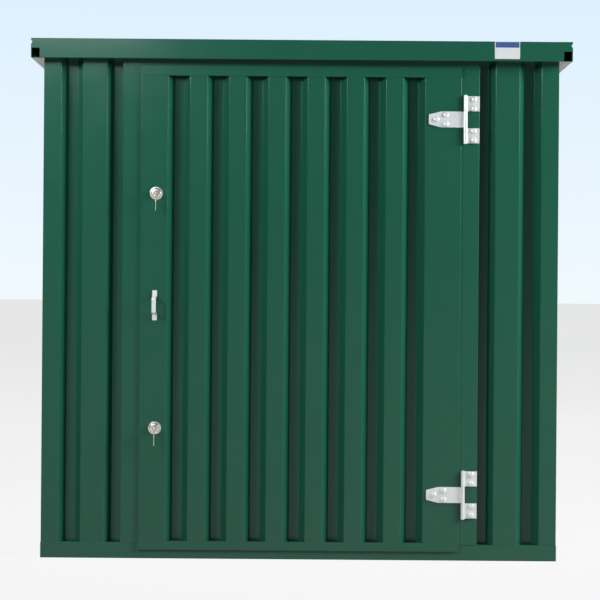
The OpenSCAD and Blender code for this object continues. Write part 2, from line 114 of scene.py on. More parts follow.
# Powder coat on folded sheet: fine peel, slow waves of the sheet and a breath of dust low down
def makePowderGroup():
    group, source, result = newGroup("powderCoat", [
        ("Colour", "NodeSocketColor", (0.1, 0.3, 0.2, 1)),
        ("Dust Colour", "NodeSocketColor", (0.2, 0.25, 0.22, 1)),
        ("Dust", "NodeSocketFloat", 0.1),
        ("Tint", "NodeSocketFloat", 0.1),
        ("Rough Low", "NodeSocketFloat", 0.25),
        ("Rough High", "NodeSocketFloat", 0.4),
        ("Peel", "NodeSocketFloat", 0.1),
        ("Wave", "NodeSocketFloat", 0.2)],
        [("Colour", "NodeSocketColor"), ("Roughness", "NodeSocketFloat"), ("Normal", "NodeSocketVector")])
    place = addNode(group, "ShaderNodeTexCoord").outputs["Object"]
    split = addNode(group, "ShaderNodeSeparateXYZ")
    join(group, place, split.inputs[0])
    cloud = noiseNode(group, place, 1.7, 3.0, 0.55)
    smudge = noiseNode(group, place, 9.0, 4.0, 0.6)
    grain = noiseNode(group, place, 260.0, 2.0)
    lighter = mixColour(group, 0.5, source.outputs["Colour"], source.outputs["Dust Colour"])
    tintMask = mathNode(group, "MULTIPLY", remap(group, cloud, 0.35, 0.7, 0.0, 1.0), source.outputs["Tint"])
    tinted = mixColour(group, tintMask, source.outputs["Colour"], lighter)
    low = remap(group, split.outputs["Z"], 0.0, 0.55, 1.0, 0.0)
    lowCurve = mathNode(group, "POWER", low, 2.2)
    dustMask = mathNode(group, "MULTIPLY", lowCurve, remap(group, smudge, 0.3, 0.75, 0.3, 1.0))
    dustMask = mathNode(group, "MULTIPLY", dustMask, source.outputs["Dust"])
    join(group, mixColour(group, dustMask, tinted, source.outputs["Dust Colour"]), result.inputs["Colour"])
    blendRough = addNode(group, "ShaderNodeMix", data_type="FLOAT")
    join(group, remap(group, smudge, 0.3, 0.72, 0.0, 1.0), blendRough.inputs[0])
    join(group, source.outputs["Rough Low"], blendRough.inputs[2])
    join(group, source.outputs["Rough High"], blendRough.inputs[3])
    dusty = mathNode(group, "MULTIPLY_ADD", dustMask, 0.3, blendRough.outputs[0], clamp=True)
    join(group, dusty, result.inputs["Roughness"])
    stretch = addNode(group, "ShaderNodeMapping", {"Scale": (1.0, 1.0, 0.35)})
    join(group, place, stretch.inputs["Vector"])
    waves = noiseNode(group, stretch.outputs[0], 4.5, 1.0)
    waveBump = addNode(group, "ShaderNodeBump", {"Distance": 0.004})
    join(group, source.outputs["Wave"], waveBump.inputs["Strength"])
    join(group, waves, waveBump.inputs["Height"])
    peelBump = addNode(group, "ShaderNodeBump", {"Distance": 0.0004})
    join(group, source.outputs["Peel"], peelBump.inputs["Strength"])
    join(group, grain, peelBump.inputs["Height"])
    join(group, waveBump.outputs[0], peelBump.inputs["Normal"])
    join(group, peelBump.outputs[0], result.inputs["Normal"])
    return group


# Metal surface: crystals or mottling, fine scratches and cloudy roughness
def makeMetalGroup():
    group, source, result = newGroup("metalSurface", [
        ("Colour", "NodeSocketColor", (0.8, 0.8, 0.8, 1)),
        ("Patch Colour", "NodeSocketColor", (0.6, 0.6, 0.6, 1)),
        ("Patch Scale", "NodeSocketFloat", 60.0),
        ("Patch Mix", "NodeSocketFloat", 0.3),
        ("Rough Low", "NodeSocketFloat", 0.3),
        ("Rough High", "NodeSocketFloat", 0.5),
        ("Scratch", "NodeSocketFloat", 0.1)],
        [("Colour", "NodeSocketColor"), ("Roughness", "NodeSocketFloat"), ("Normal", "NodeSocketVector")])
    place = addNode(group, "ShaderNodeTexCoord").outputs["Object"]
    crystals = addNode(group, "ShaderNodeTexVoronoi", feature="F1")
    join(group, place, crystals.inputs["Vector"])
    join(group, source.outputs["Patch Scale"], crystals.inputs["Scale"])
    spangle = addNode(group, "ShaderNodeSeparateColor")
    join(group, crystals.outputs["Color"], spangle.inputs[0])
    cloud = noiseNode(group, place, 45.0, 4.0, 0.65)
    patch = mathNode(group, "MULTIPLY", spangle.outputs[0], remap(group, cloud, 0.3, 0.7, 0.2, 1.0))
    mask = mathNode(group, "MULTIPLY", patch, source.outputs["Patch Mix"])
    join(group, mixColour(group, mask, source.outputs["Colour"], source.outputs["Patch Colour"]),
         result.inputs["Colour"])
    blendRough = addNode(group, "ShaderNodeMix", data_type="FLOAT")
    join(group, patch, blendRough.inputs[0])
    join(group, source.outputs["Rough Low"], blendRough.inputs[2])
    join(group, source.outputs["Rough High"], blendRough.inputs[3])
    join(group, blendRough.outputs[0], result.inputs["Roughness"])
    stretch = addNode(group, "ShaderNodeMapping", {"Scale": (1.0, 1.0, 14.0), "Rotation": (0.3, 0.2, 0.0)})
    join(group, place, stretch.inputs["Vector"])
    lines = noiseNode(group, stretch.outputs[0], 120.0, 3.0, 0.7)
    bump = addNode(group, "ShaderNodeBump", {"Distance": 0.0003})
    join(group, source.outputs["Scratch"], bump.inputs["Strength"])
    join(group, lines, bump.inputs["Height"])
    join(group, bump.outputs[0], result.inputs["Normal"])
    return group


# Film-faced plywood: brown film with a pressed mesh, lighter scuffs where it is walked on
def makeBoardGroup():
    group, source, result = newGroup("filmBoard", [
        ("Colour", "NodeSocketColor", (0.2, 0.1, 0.05, 1)),
        ("Scuff Colour", "NodeSocketColor", (0.4, 0.3, 0.2, 1)),
        ("Mesh Scale", "NodeSocketFloat", 160.0)],
        [("Colour", "NodeSocketColor"), ("Roughness", "NodeSocketFloat"), ("Normal", "NodeSocketVector")])
    place = addNode(group, "ShaderNodeTexCoord").outputs["Object"]
    grain = addNode(group, "ShaderNodeMapping", {"Scale": (1.0, 14.0, 1.0)})
    join(group, place, grain.inputs["Vector"])
    streak = noiseNode(group, grain.outputs[0], 3.0, 5.0, 0.6)
    scuff = noiseNode(group, place, 5.0, 6.0, 0.7)
    base = mixColour(group, remap(group, streak, 0.35, 0.7, 0.0, 0.35), source.outputs["Colour"],
                     source.outputs["Scuff Colour"])
    scuffMask = remap(group, scuff, 0.52, 0.75, 0.0, 0.6)
    join(group, mixColour(group, scuffMask, base, source.outputs["Scuff Colour"]), result.inputs["Colour"])
    join(group, remap(group, scuff, 0.3, 0.7, 0.38, 0.7), result.inputs["Roughness"])
    dots = addNode(group, "ShaderNodeTexVoronoi", {"Randomness": 0.0}, feature="F1")
    join(group, place, dots.inputs["Vector"])
    join(group, source.outputs["Mesh Scale"], dots.inputs["Scale"])
    bump = addNode(group, "ShaderNodeBump", {"Distance": 0.0006, "Strength": 0.5})
    join(group, dots.outputs["Distance"], bump.inputs["Height"])
    join(group, bump.outputs[0], result.inputs["Normal"])
    return group


groups = {"powder": makePowderGroup(), "metal": makeMetalGroup(), "board": makeBoardGroup()}


def newMaterial(name, groupName, groupValues, shaderValues):
    material = bpy.data.materials.new(name)
    material.use_nodes = True
    tree = material.node_tree
    shader = tree.nodes["Principled BSDF"]
    for key, value in shaderValues.items():
        shader.inputs[key].default_value = value
    effect = addNode(tree, "ShaderNodeGroup", node_tree=groups[groupName])
    for key, value in groupValues.items():
        effect.inputs[key].default_value = value
    join(tree, effect.outputs["Colour"], shader.inputs["Base Color"])
    join(tree, effect.outputs["Roughness"], shader.inputs["Roughness"])
    join(tree, effect.outputs["Normal"], shader.inputs["Normal"])
    return material


paint = {
    "colour": (0.0092, 0.088, 0.0525, 1), "dustColour": (0.10, 0.12, 0.105, 1), "dust": 0.12, "tint": 0.03,
    "roughLow": 0.17, "roughHigh": 0.25, "peel": 0.03, "wave": 0.10, "specular": 0.30,
    "frameShade": 1.04,  # rails, posts and door frame are a touch lighter than the sheets
}


def makePaint(name, shade=1.0):
    red, green, blue, full = paint["colour"]
    return newMaterial(name, "powder", {
        "Colour": (red * shade, green * shade, blue * shade, full), "Dust Colour": paint["dustColour"],
        "Dust": paint["dust"], "Tint": paint["tint"], "Rough Low": paint["roughLow"],
        "Rough High": paint["roughHigh"], "Peel": paint["peel"], "Wave": paint["wave"]},
        {"Specular IOR Level": paint["specular"]})


materials = {
    "green": makePaint("mossGreenCoat"),
    "greenFrame": makePaint("mossGreenFrame", paint["frameShade"]),
    "zinc": newMaterial("galvanisedSteel", "metal", {
        "Colour": (0.83, 0.85, 0.84, 1), "Patch Colour": (0.60, 0.61, 0.62, 1), "Patch Scale": 90.0,
        "Patch Mix": 0.35, "Rough Low": 0.34, "Rough High": 0.50, "Scratch": 0.12}, {"Metallic": 0.45}),
    "tube": newMaterial("galvanisedTube", "metal", {
        "Colour": (0.50, 0.52, 0.52, 1), "Patch Colour": (0.36, 0.37, 0.38, 1), "Patch Scale": 55.0,
        "Patch Mix": 0.55, "Rough Low": 0.38, "Rough High": 0.58, "Scratch": 0.1}, {"Metallic": 0.7}),
    "nickel": newMaterial("satinNickel", "metal", {
        "Colour": (0.74, 0.70, 0.66, 1), "Patch Colour": (0.50, 0.40, 0.37, 1), "Patch Scale": 160.0,
        "Patch Mix": 0.55, "Rough Low": 0.22, "Rough High": 0.42, "Scratch": 0.15}, {"Metallic": 0.9}),
    "key": newMaterial("keyNickel", "metal", {
        "Colour": (0.78, 0.78, 0.76, 1), "Patch Colour": (0.55, 0.55, 0.54, 1), "Patch Scale": 220.0,
        "Patch Mix": 0.4, "Rough Low": 0.25, "Rough High": 0.42, "Scratch": 0.25}, {"Metallic": 0.85}),
    "brass": newMaterial("cylinderBrass", "metal", {
        "Colour": (0.62, 0.52, 0.32, 1), "Patch Colour": (0.42, 0.34, 0.20, 1), "Patch Scale": 180.0,
        "Patch Mix": 0.4, "Rough Low": 0.3, "Rough High": 0.45, "Scratch": 0.2}, {"Metallic": 0.9}),
    "board": newMaterial("filmBoardBrown", "board", {
        "Colour": (0.16, 0.085, 0.045, 1), "Scuff Colour": (0.30, 0.20, 0.12, 1)}, {}),
    "plate": newMaterial("plateWhite", "metal", {
        "Colour": (0.62, 0.65, 0.66, 1), "Patch Colour": (0.52, 0.55, 0.56, 1), "Patch Scale": 40.0,
        "Patch Mix": 0.2, "Rough Low": 0.3, "Rough High": 0.45, "Scratch": 0.02}, {}),
    "band": newMaterial("plateBlue", "metal", {
        "Colour": (0.045, 0.085, 0.24, 1), "Patch Colour": (0.08, 0.16, 0.34, 1), "Patch Scale": 30.0,
        "Patch Mix": 0.3, "Rough Low": 0.3, "Rough High": 0.45, "Scratch": 0.02}, {}),
}
print("materials made:", len(materials))


# Mesh helpers

def newObject(name, mesh, material, body, replaced=()):
    piece = bpy.data.objects.new(name, mesh)
    bpy.context.scene.collection.objects.link(piece)
    if not mesh.materials:
        mesh.materials.append(materials[material])
    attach(piece, body)
    if replaced:
        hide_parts(*replaced)
    return piece


# Closes a bmesh into a shaded mesh whose flats stay flat and whose bends stay round
def closeMesh(name, shape, smoothAngle=40):
    bmesh.ops.remove_doubles(shape, verts=shape.verts, dist=1e-6)
    bmesh.ops.recalc_face_normals(shape, faces=shape.faces)
    mesh = bpy.data.meshes.new(name)
    shape.to_mesh(mesh)
    shape.free()
    for face in mesh.polygons:
        face.use_smooth = True
    mesh.set_sharp_from_angle(angle=math.radians(smoothAngle))
    return mesh


def weigh(piece):
    modifier = piece.modifiers.new("weigh", "WEIGHTED_NORMAL")
    modifier.keep_sharp = True
    return piece


# Face and back lines of a folded strip. Corners are on the face line, the sheet lies to its left,
# and radius is the inside radius of every bend.
def foldStrip(corners, thickness, radius, steps=5):
    points = [Vector(corner) for corner in corners]
    face, back = [], []
    for i, point in enumerate(points):
        before = (point - points[i - 1]).normalized() if i > 0 else None
        after = (points[i + 1] - point).normalized() if i < len(points) - 1 else None
        if before is None or after is None:
            along = after or before
            normal = Vector((-along.y, along.x))
            face.append(point.copy())
            back.append(point + normal * thickness)
            continue
        turn = math.atan2(before.x * after.y - before.y * after.x, before.dot(after))
        side = 1 if turn > 0 else -1
        faceRadius = radius + (thickness if side > 0 else 0)
        start = point - before * faceRadius * math.tan(abs(turn) / 2)
        normal = Vector((-before.y, before.x))
        centre = start + normal * faceRadius * side
        for k in range(steps + 1):
            spoke = Matrix.Rotation(turn * k / steps, 2) @ normal * side
            face.append(centre - spoke * faceRadius)
            back.append(centre - spoke * (faceRadius - side * thickness))
    return face, back


# Adds a folded strip, drawn out between two levels, to a bmesh
def addStrip(shape, lines, low, high, place):
    rows = [[[shape.verts.new(place(p.x, p.y, w)) for p in line] for line in lines] for w in (low, high)]
    (faceLow, backLow), (faceHigh, backHigh) = rows
    for i in range(len(faceLow) - 1):
        for a, b in ((faceLow, faceHigh), (backHigh, backLow), (backLow, faceLow), (faceHigh, backHigh)):
            shape.faces.new((a[i], a[i + 1], b[i + 1], b[i]))
    for i in (0, -1):
        shape.faces.new((faceLow[i], backLow[i], backHigh[i], faceHigh[i]))


# Adds a tube of a closed outline, drawn out between two levels, to a bmesh
def addTube(shape, outer, inner, low, high, place):
    rows = [[[shape.verts.new(place(p.x, p.y, w)) for p in line] for line in (outer, inner)]
            for w in (low, high)]
    (outerLow, innerLow), (outerHigh, innerHigh) = rows
    count = len(outerLow)
    for i in range(count):
        j = (i + 1) % count
        for a, b in ((outerLow, outerHigh), (innerHigh, innerLow),
                     (innerLow, outerLow), (outerHigh, innerHigh)):
            shape.faces.new((a[i], a[j], b[j], b[i]))


# Rounded outline of a closed polygon, with its inner line a wall's thickness inside
def roundLoop(corners, thickness, radius, steps=4):
    points = [Vector(corner) for corner in corners]
    count = len(points)
    outer, inner = [], []
    for i, point in enumerate(points):
        before = (point - points[i - 1]).normalized()
        after = (points[(i + 1) % count] - point).normalized()
        turn = math.atan2(before.x * after.y - before.y * after.x, before.dot(after))
        side = 1 if turn > 0 else -1
        faceRadius = radius if side > 0 else max(radius - thickness, 0.0005)
        start = point - before * faceRadius * math.tan(abs(turn) / 2)
        normal = Vector((-before.y, before.x))
        centre = start + normal * faceRadius * side
        for k in range(steps + 1):
            spoke = Matrix.Rotation(turn * k / steps, 2) @ normal * side
            outer.append(centre - spoke * faceRadius)
            inner.append(centre - spoke * (faceRadius - side * thickness))
    return outer, inner


# Adds a box with bevelled edges to a bmesh
def addBox(shape, low, high, bevel=0.0, steps=2):
    made = bmesh.ops.create_cube(shape, size=1.0)["verts"]
    size = Vector(high) - Vector(low)
    centre = (Vector(high) + Vector(low)) / 2
    for vert in made:
        vert.co = Vector((vert.co.x * size.x, vert.co.y * size.y, vert.co.z * size.z)) + centre
    if bevel:
        edges = list({edge for vert in made for edge in vert.link_edges})
        bmesh.ops.bevel(shape, geom=edges, offset=bevel, segments=steps, affect="EDGES", profile=0.5)


# Adds a plate of a polygon outline, with its rim bevelled, to a bmesh
def addPlate(shape, outline, low, high, bevel, place, steps=2):
    bottom = [shape.verts.new(place(x, y, low)) for x, y in outline]
    top = [shape.verts.new(place(x, y, high)) for x, y in outline]
    faces = [shape.faces.new(bottom), shape.faces.new(top)]
    for i in range(len(outline)):
        j = (i + 1) % len(outline)
        shape.faces.new((bottom[i], bottom[j], top[j], top[i]))
    if bevel:
        edges = [edge for face in faces for edge in face.edges]
        bmesh.ops.bevel(shape, geom=edges, offset=bevel, segments=steps, affect="EDGES", profile=0.5)


# Adds a turned form about an axis to a bmesh. The profile is (radius, height) from one end to the other.
def addTurned(shape, profile, centre, axis, count=48):
    axis = Vector(axis).normalized()
    side = axis.orthogonal().normalized()
    third = axis.cross(side)
    rings = []
    for radius, height in profile:
        base = Vector(centre) + axis * height
        if radius < 1e-7:
            rings.append([shape.verts.new(base)])
            continue
        rings.append([shape.verts.new(base + side * radius * math.cos(2 * math.pi * k / count)
                                      + third * radius * math.sin(2 * math.pi * k / count))
                      for k in range(count)])
    for lower, upper in zip(rings, rings[1:]):
        for k in range(count):
            n = (k + 1) % count
            corners = [lower[k % len(lower)], lower[n % len(lower)],
                       upper[n % len(upper)], upper[k % len(upper)]]
            corners = list(dict.fromkeys(corners))
            if len(corners) > 2:
                shape.faces.new(corners)


def arcPoints(radius, height, steps):  # quarter of a dome, from its rim to its top
    return [(radius * math.cos(math.pi / 2 * k / steps), height * math.sin(math.pi / 2 * k / steps))
            for k in range(steps + 1)]


# Walls and roof sheet

wall = {
    "grooveWidth": 90 * mm, "grooveFloor": 40 * mm, "pitch": 187 * mm, "plain": 68 * mm,
    "bend": 3.5 * mm, "thickness": 1.5 * mm, "steps": 6,
}
roof = {"ribWidth": 70 * mm, "ribTop": 30 * mm, "pitch": 200 * mm, "plain": 40 * mm}


def grooveCentres(run, width, pitch, plain):
    count = math.floor((run - 2 * plain - width) / pitch + 1e-6)
    return [(i - count / 2) * pitch for i in range(count + 1)]


# Face line of a sheet with grooves, from one edge to the other
def ribbedLine(start, end, centres, width, floorWidth, depth):
    line = [(start, 0.0)]
    for centre in centres:
        line += [(centre - width / 2, 0.0), (centre - floorWidth / 2, depth),
                 (centre + floorWidth / 2, depth), (centre + width / 2, 0.0)]
    return line + [(end, 0.0)]


def makeWall(name, node, across, place, fullRun):
    low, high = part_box(node)
    start, end = across(low, high)
    spans = [high[i] - low[i] for i in range(3)]
    depth = min(spans) - wall["thickness"]
    centres = [c for c in grooveCentres(fullRun, wall["grooveWidth"], wall["pitch"], wall["plain"])
               if c - wall["grooveWidth"] / 2 > start and c + wall["grooveWidth"] / 2 < end]
    line = ribbedLine(start, end, centres, wall["grooveWidth"], wall["grooveFloor"], depth)
    shape = bmesh.new()
    lines = foldStrip(line, wall["thickness"], wall["bend"], wall["steps"])
    addStrip(shape, lines, low.z, high.z, place(low, high))
    return weigh(newObject(name, closeMesh(name, shape), "green", "container", [node]))


def makeWalls():
    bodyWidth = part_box("rear_wall")[1].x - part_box("rear_wall")[0].x
    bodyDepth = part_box("rear_wall")[1].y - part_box("front_wall_left")[0].y
    front = lambda low, high: (lambda u, v, w: (u, low.y + v, w))
    makeWall("frontWallLeft", "front_wall_left", lambda low, high: (low.x, high.x), front, bodyWidth)
    makeWall("frontWallRight", "front_wall_right", lambda low, high: (low.x, high.x), front, bodyWidth)
    makeWall("rearWall", "rear_wall", lambda low, high: (low.x, high.x),
             lambda low, high: (lambda u, v, w: (-u, high.y - v, w)), bodyWidth)
    makeWall("leftWall", "left_wall", lambda low, high: (low.y, high.y),
             lambda low, high: (lambda u, v, w: (low.x + v, -u, w)), bodyDepth)
    makeWall("rightWall", "right_wall", lambda low, high: (low.y, high.y),
             lambda low, high: (lambda u, v, w: (high.x - v, u, w)), bodyDepth)


def makeRoofSheet():
    low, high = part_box("roof_sheet")
    depth = high.z - low.z - wall["thickness"]
    centres = grooveCentres(high.x - low.x, roof["ribWidth"], roof["pitch"], roof["plain"])
    line = ribbedLine(low.x, high.x, centres, roof["ribWidth"], roof["ribTop"], depth)
    shape = bmesh.new()
    addStrip(shape, foldStrip(line, wall["thickness"], wall["bend"], wall["steps"]), low.y, high.y,
             lambda u, v, w: (u, w, low.z + v))
    weigh(newObject("roofSheet", closeMesh("roofSheet", shape), "green", "container", ["roof_sheet"]))


makeWalls()
makeRoofSheet()
print("walls and roof sheet made")


# Base rails and corner posts

# The bend is tight: a rounder edge would leave a slit of light under the wall sheets
rail = {"thickness": 3 * mm, "bend": 0.3 * mm, "endBevel": 0.8 * mm, "postBend": 1.5 * mm, "steps": 5}


def makeEndRail(name, node, facing):
    low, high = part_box(node)
    height, width = high.z - low.z, high.y - low.y
    outer = low.y if facing < 0 else high.y
    place = lambda u, v, w: (w, outer - facing * u, low.z + v)
    line = [(width, 0.0), (0.0, 0.0), (0.0, height), (width, height)]
    shape = bmesh.new()
    face, back = foldStrip(line, -rail["thickness"], rail["bend"] + rail["thickness"], rail["steps"])
    addStrip(shape, (face, back), low.x + rail["thickness"], high.x - rail["thickness"], place)
    for x in (low.x, high.x - rail["thickness"]):
        addBox(shape, (x, low.y, low.z), (x + rail["thickness"], high.y, high.z), rail["endBevel"])
    weigh(newObject(name, closeMesh(name, shape), "greenFrame", "container", [node]))


def makeSideRail(name, node, facing):
    low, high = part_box(node)
    height, width = high.z - low.z, high.x - low.x
    outer = low.x if facing < 0 else high.x
    line = [(width, 0.0), (0.0, 0.0), (0.0, height), (width, height)]
    shape = bmesh.new()
    addStrip(shape, foldStrip(line, -rail["thickness"], rail["bend"] + rail["thickness"], rail["steps"]),
             low.y, high.y, lambda u, v, w: (outer - facing * u, w, low.z + v))
    weigh(newObject(name, closeMesh(name, shape), "greenFrame", "container", [node]))


def makePosts():
    for node in ("corner_post_front_left", "corner_post_front_right",
                 "corner_post_rear_left", "corner_post_rear_right"):
        low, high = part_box(node)
        turnX = 1 if "left" in node else -1
        turnY = 1 if "front" in node else -1
        corner = Vector((low.x if turnX > 0 else high.x, low.y if turnY > 0 else high.y))
        leg = high.x - low.x
        shape = bmesh.new()
        angle = foldStrip([(0.0, leg), (0.0, 0.0), (leg, 0.0)], rail["thickness"], rail["postBend"], 4)
        addStrip(shape, angle,
                 low.z, high.z, lambda u, v, w: (corner.x + turnX * u, corner.y + turnY * v, w))
        words = node.split("_")
        name = "post" + words[2].title() + words[3].title()
        weigh(newObject(name, closeMesh(name, shape), "greenFrame", "container", [node]))


makeEndRail("baseRailFront", "base_rail_front", -1)
makeEndRail("baseRailRear", "base_rail_rear", 1)
makeSideRail("baseRailLeft", "base_rail_left", -1)
makeSideRail("baseRailRight", "base_rail_right", 1)
makePosts()
print("base rails and posts made")


# Door frame

jamb = {"thickness": 1.5 * mm, "bend": 1.8 * mm, "face": 93 * mm, "lip": 40 * mm, "edgeFold": 7 * mm}


def makeJamb(name, node, facing):
    low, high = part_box(node)
    inner = high.x if facing < 0 else low.x
    depth = high.y - low.y
    line = [(jamb["face"], jamb["edgeFold"]), (jamb["face"], 0.0), (0.0, 0.0), (0.0, depth),
            (jamb["lip"], depth)]
    face, back = foldStrip(line, -jamb["thickness"], jamb["bend"] + jamb["thickness"], 5)
    shape = bmesh.new()
    addStrip(shape, (face, back), low.z, high.z, lambda u, v, w: (inner + facing * u, low.y + v, w))
    weigh(newObject(name, closeMesh(name, shape), "greenFrame", "container", [node]))


def makeHeader():
    low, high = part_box("door_header")
    line = [(0.0, high.z - low.z), (0.0, 0.0), (high.y - low.y, 0.0)]
    shape = bmesh.new()
    addStrip(shape, foldStrip(line, jamb["thickness"], jamb["bend"], 5), low.x, high.x,
             lambda u, v, w: (w, low.y + u, low.z + v))
    weigh(newObject("doorHeader", closeMesh("doorHeader", shape), "greenFrame", "container",
                    ["door_header"]))


makeJamb("doorJambLeft", "door_jamb_left", -1)
makeJamb("doorJambRight", "door_jamb_right", 1)
makeHeader()
print("door frame made")


# Roof edge

edge = {
    "thickness": 2 * mm, "bend": 3 * mm, "crease": 6 * mm, "creaseDrop": 16 * mm, "creaseHalf": 9.6 * mm,
    "gutter": 37 * mm, "eaves": 91 * mm, "ledge": 25 * mm, "ledgeBevel": 0.4 * mm,
    "plateRoom": 0.5 * mm, "plateBevel": 0.35 * mm, "plateDrop": 1.5 * mm, "steps": 5,
}


def eavesCorners(width, height):  # outline seen from the front, u outwards from the inner side
    top, half = height - edge["creaseDrop"], edge["creaseHalf"]
    return [(0.0, 0.0), (width, 0.0), (width, top - half), (width - edge["crease"], top),
            (width, top + half), (width, height), (0.0, height)]


def makeEaves(name, node, facing):
    low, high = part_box(node)
    outer = high.x if facing > 0 else low.x
    boxLow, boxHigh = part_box("roof_fascia_front")[1].y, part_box("roof_fascia_rear")[0].y
    height = high.z - low.z
    shape = bmesh.new()
    for width, start, end in ((edge["eaves"], boxLow, boxHigh), (edge["gutter"], low.y, boxLow),
                              (edge["gutter"], boxHigh, high.y)):
        lines = roundLoop(eavesCorners(width, height), edge["thickness"], edge["bend"])
        addTube(shape, *lines, start, end,
                lambda u, v, w: (outer - facing * (width - u), w, low.z + v))
    near = outer - facing * (edge["eaves"] + edge["ledge"])
    far = outer - facing * edge["eaves"]
    addBox(shape, (min(near, far), boxLow, low.z), (max(near, far), boxHigh, low.z + edge["thickness"]),
           edge["ledgeBevel"])
    weigh(newObject(name, closeMesh(name, shape), "green", "container", [node]))


# Front or rear box with the plates that cover the upper half of the gutter ends
def makeFascia(name, node, facing):
    low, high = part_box(node)
    depth, height = high.y - low.y, high.z - low.z
    half = high.x - edge["gutter"]
    front = low.y if facing < 0 else high.y
    inset, steps = edge["plateRoom"], edge["steps"]
    shape = bmesh.new()
    corners = [(inset, 0.0), (depth, 0.0), (depth, height), (inset, height)]
    addTube(shape, *roundLoop(corners, edge["thickness"], edge["bend"], steps), -half, half,
            lambda u, v, w: (w, front - facing * u, low.z + v))
    top, crease = height - edge["creaseDrop"], edge["creaseHalf"]
    rounding = edge["bend"]
    for side in (-1, 1):
        outline = [(half, height / 2), (high.x, height / 2), (high.x, top - crease),
                   (high.x - edge["crease"], top), (high.x, top + crease),
                   (high.x, height - edge["plateDrop"]), (half, height - edge["plateDrop"])]
        addPlate(shape, outline, inset, edge["thickness"], edge["plateBevel"],
                 lambda u, v, w: (side * u, front - facing * w, low.z + v))
        for i in range(steps):  # rounded upper edge, in step with the box beside it
            a, b = math.pi / 2 * i / steps, math.pi / 2 * (i + 1) / steps
            quad = [(half, a), (high.x, a), (high.x, b), (half, b)]
            shape.faces.new([shape.verts.new((
                side * x, front - facing * (inset + rounding * (1 - math.cos(t))),
                low.z + height - rounding + rounding * math.sin(t))) for x, t in quad])
    weigh(newObject(name, closeMesh(name, shape), "green", "container", [node]))


makeEaves("eavesLeft", "eaves_left", -1)
makeEaves("eavesRight", "eaves_right", 1)
makeFascia("roofFasciaFront", "roof_fascia_front", -1)
makeFascia("roofFasciaRear", "roof_fascia_rear", 1)
print("roof edge made")


# Door

door = {
    "lockStile": 111 * mm, "hingeStile": 149 * mm, "pitchAim": 160 * mm, "bend": 3.0 * mm,
    "edgeFold": 3.4 * mm, "edgeBend": 1.2 * mm, "topBand": 42 * mm, "bottomBand": 37 * mm,
    "lip": 40 * mm, "stileLip": 65 * mm, "lipBevel": 0.3 * mm, "fold": 3.6 * mm, "thickness": 1.5 * mm,
}


def makeDoorSheet():
    low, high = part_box("door_sheet")
    t = door["thickness"]
    depth = high.y - low.y - t
    free = high.x - low.x - door["lockStile"] - door["hingeStile"] - wall["grooveWidth"]
    count = round(free / door["pitchAim"])
    first = low.x + door["lockStile"] + wall["grooveWidth"] / 2
    centres = [first + i * free / count for i in range(count + 1)]
    line = ribbedLine(low.x, high.x, centres, wall["grooveWidth"], wall["grooveFloor"], depth)
    line = [(low.x, door["edgeFold"])] + line + [(high.x, door["edgeFold"])]
    shape = bmesh.new()
    addStrip(shape, foldStrip(line, t, door["bend"], 6), low.z, high.z, lambda u, v, w: (u, low.y + v, w))
    weigh(newObject("doorSheet", closeMesh("doorSheet", shape), "green", "door", ["door_sheet"]))


# Channel over the top or under the bottom of the door: face band, cap and rear lip
def makeDoorChannel(name, node, facing, band):
    low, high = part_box(node)
    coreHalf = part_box("door_right_stile")[1].x
    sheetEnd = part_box("door_sheet")[1].z if facing > 0 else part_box("door_sheet")[0].z
    t = door["thickness"]
    outerEdge = high.z if facing > 0 else low.z
    shape = bmesh.new()
    place = lambda u, v, w: (w, low.y + u, v)
    face = [(door["fold"], outerEdge), (0.0, outerEdge), (0.0, outerEdge - facing * band)]
    bend = door["edgeBend"] if facing > 0 else door["edgeBend"] + t
    addStrip(shape, foldStrip(face, t * facing, bend, 4), low.x, high.x, place)
    cap = [(t, sheetEnd + facing * t), (high.y - low.y, sheetEnd + facing * t),
           (high.y - low.y, sheetEnd + facing * (t - door["lip"]))]
    addStrip(shape, foldStrip(cap, -t * facing, door["bend"], 4), -coreHalf, coreHalf, place)
    weigh(newObject(name, closeMesh(name, shape), "greenFrame", "door", [node]))


def makeStile(name, node, facing):
    low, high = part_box(node)
    t = door["thickness"]
    outer = high.x if facing > 0 else low.x
    shape = bmesh.new()
    web = foldStrip([(0.0, 0.0), (0.0, high.y - low.y - t)], t, door["edgeBend"])
    addStrip(shape, web, low.z, high.z, lambda u, v, w: (outer - facing * u, low.y + v, w))
    near, far = sorted((outer, outer - facing * door["stileLip"]))
    addBox(shape, (near, high.y - t, low.z + door["lip"]), (far, high.y, high.z - door["lip"]),
           door["lipBevel"])
    weigh(newObject(name, closeMesh(name, shape), "greenFrame", "door", [node]))


makeDoorSheet()
makeDoorChannel("doorTopChannel", "door_top_channel", 1, door["topBand"])
makeDoorChannel("doorBottomChannel", "door_bottom_channel", -1, door["bottomBand"])
makeStile("doorLeftStile", "door_left_stile", -1)
makeStile("doorRightStile", "door_right_stile", 1)
print("door made")


# Hinges: rolled eyes round the pin, bevelled plates and domed bolt heads

hinge = {
    "plate": 4 * mm, "eye": 8 * mm, "pin": 5 * mm, "bevel": 0.9 * mm, "play": 0.05 * mm, "eyeSoft": 0.7 * mm,
    "eyeBite": 0.6 * mm, "leafRoot": 4 * mm, "pinHead": 6.2 * mm, "pinTop": 4.4 * mm, "pinSoft": 0.9 * mm,
    "strapReach": 149 * mm, "taper": 100 * mm, "tip": 39.5 * mm, "strap": 65 * mm,
    "cut": 2 * mm, "cutOut": 0.6 * mm, "cutIn": 1.5 * mm,  # corners of the strap's tip
    "leafReach": 58 * mm, "leafStart": 34.5 * mm, "leafEnd": 96 * mm, "eyeStart": 33.5 * mm,
    "eyeEnd": 98.5 * mm, "strapBolts": [(-118 * mm, 0.0), (-78.5 * mm, 19 * mm), (-78.5 * mm, -19 * mm)],
    "leafBolts": [(35.7 * mm, z * mm) for z in (45.5, 83.5, -45.5, -83.5)],
}
